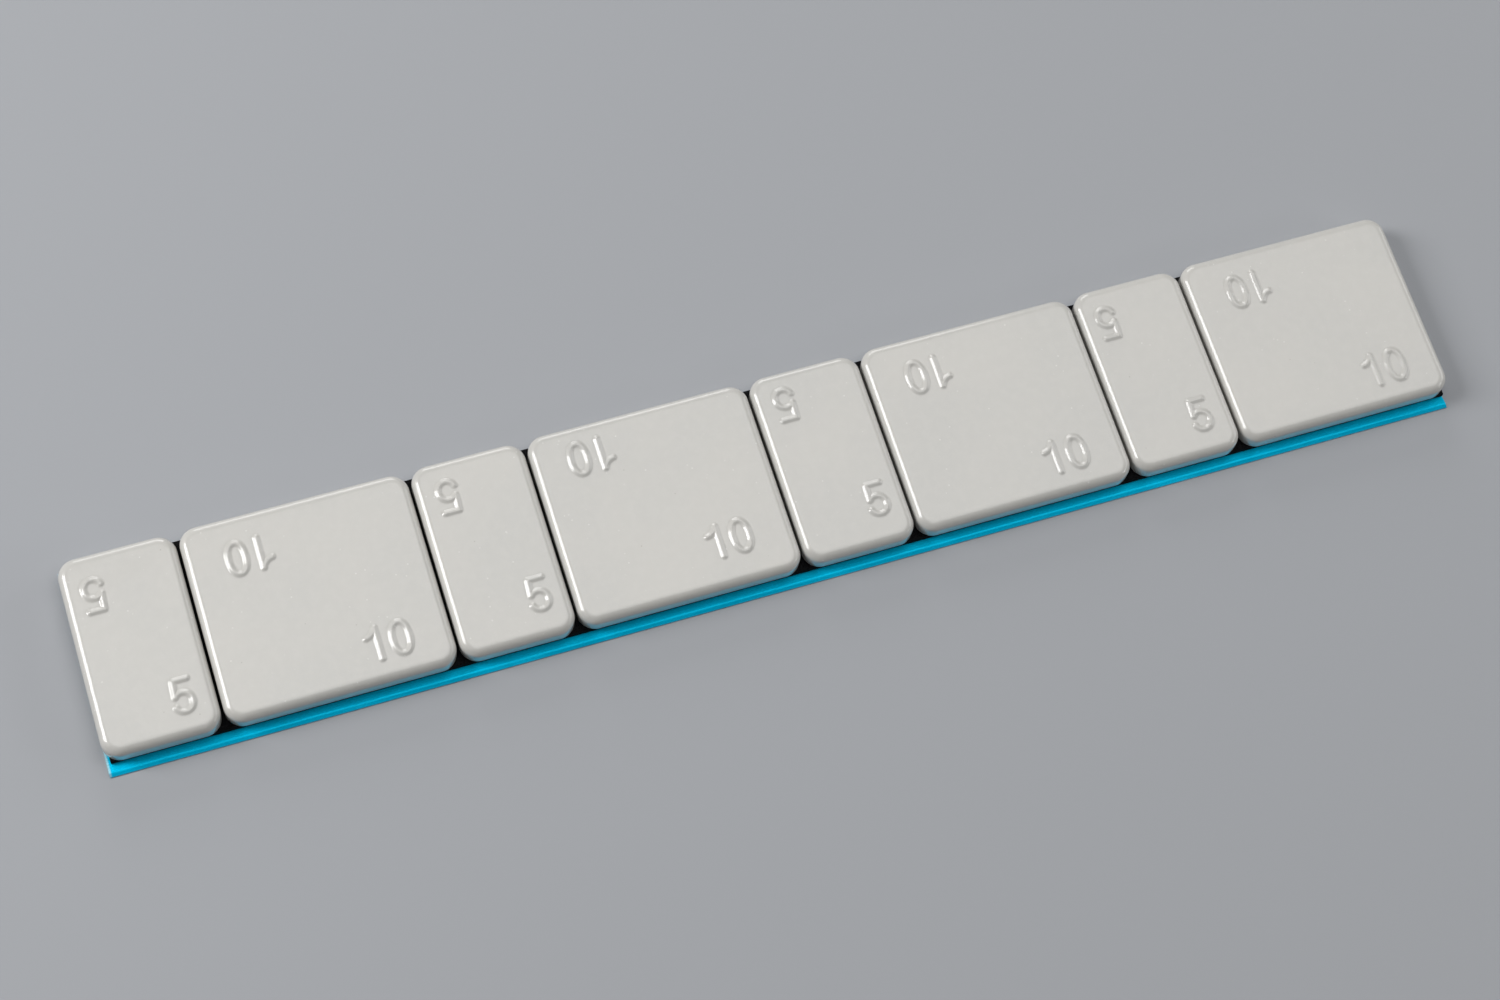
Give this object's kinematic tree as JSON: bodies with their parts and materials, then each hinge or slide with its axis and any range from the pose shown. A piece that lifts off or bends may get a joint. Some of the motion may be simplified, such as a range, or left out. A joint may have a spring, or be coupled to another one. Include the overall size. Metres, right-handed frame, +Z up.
{
  "type": "wheel balance weight",
  "caption": "Straight self-adhesive strip of rounded, coated steel blocks, small and large in turn, on foam tape with a blue release film; cut at a gap and stuck inside a wheel rim.",
  "frame": {"origin": "on the underside of the release film, at the middle of the strip's length and width", "axes": "+X along the strip from a small weight's end to a large weight's end, +Y across it away from the wide pull edge of the film, +Z up out of the weights' top faces"},
  "size_m": [0.1506, 0.0232, 0.0033],
  "materials": {
    "coated_steel": "satin light grey coat with a faint orange peel",
    "black_foam": "matt black closed-cell foam",
    "blue_film": "glossy cyan-blue film"
  },
  "bodies": {
    "root": {"small_weight_1": "coated_steel", "small_weight_2": "coated_steel", "small_weight_3": "coated_steel", "small_weight_4": "coated_steel", "large_weight_1": "coated_steel", "large_weight_2": "coated_steel", "large_weight_3": "coated_steel", "large_weight_4": "coated_steel", "foam_tape": "black_foam", "release_film": "blue_film"}
  },
  "joints": []
}
